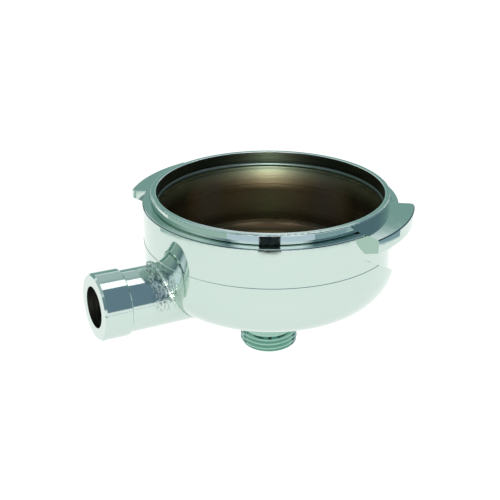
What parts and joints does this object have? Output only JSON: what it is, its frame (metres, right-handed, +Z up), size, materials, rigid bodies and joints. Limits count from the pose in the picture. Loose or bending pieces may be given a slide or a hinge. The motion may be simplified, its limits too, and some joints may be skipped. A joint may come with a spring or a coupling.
{
  "type": "espresso portafilter body",
  "caption": "Chromed brass filter holder cup with bayonet lugs, a tapped neck for the handle, a threaded outlet below and a wire ring that retains the basket.",
  "frame": {"origin": "centre of the mouth, on the top land of the rim", "axes": "+Z up out of the mouth along the cup axis, -Y towards the handle end of the neck, +X towards the side with the lug that starts nearest +X"},
  "size_m": [0.0832, 0.0953, 0.0518],
  "materials": {
    "chrome_plate": "polished chrome over brass",
    "turned_chrome": "turned and chromed, fine lathe marks",
    "braze": "chromed braze, slightly rough",
    "spring_wire": "drawn stainless wire"
  },
  "bodies": {
    "body": {"bayonet_ring": "turned_chrome", "bowl": "chrome_plate", "neck": "chrome_plate", "handle_socket": "turned_chrome", "outlet_nipple": "turned_chrome", "neck_braze": "braze"},
    "spring": {"basket_spring": "spring_wire"}
  },
  "joints": [
    {"name": "spring_turn", "type": "hinge", "parent": "body", "child": "spring", "pos_m": [0, 0, -0.0043], "axis": [0, 0, 1], "continuous": true}
  ]
}
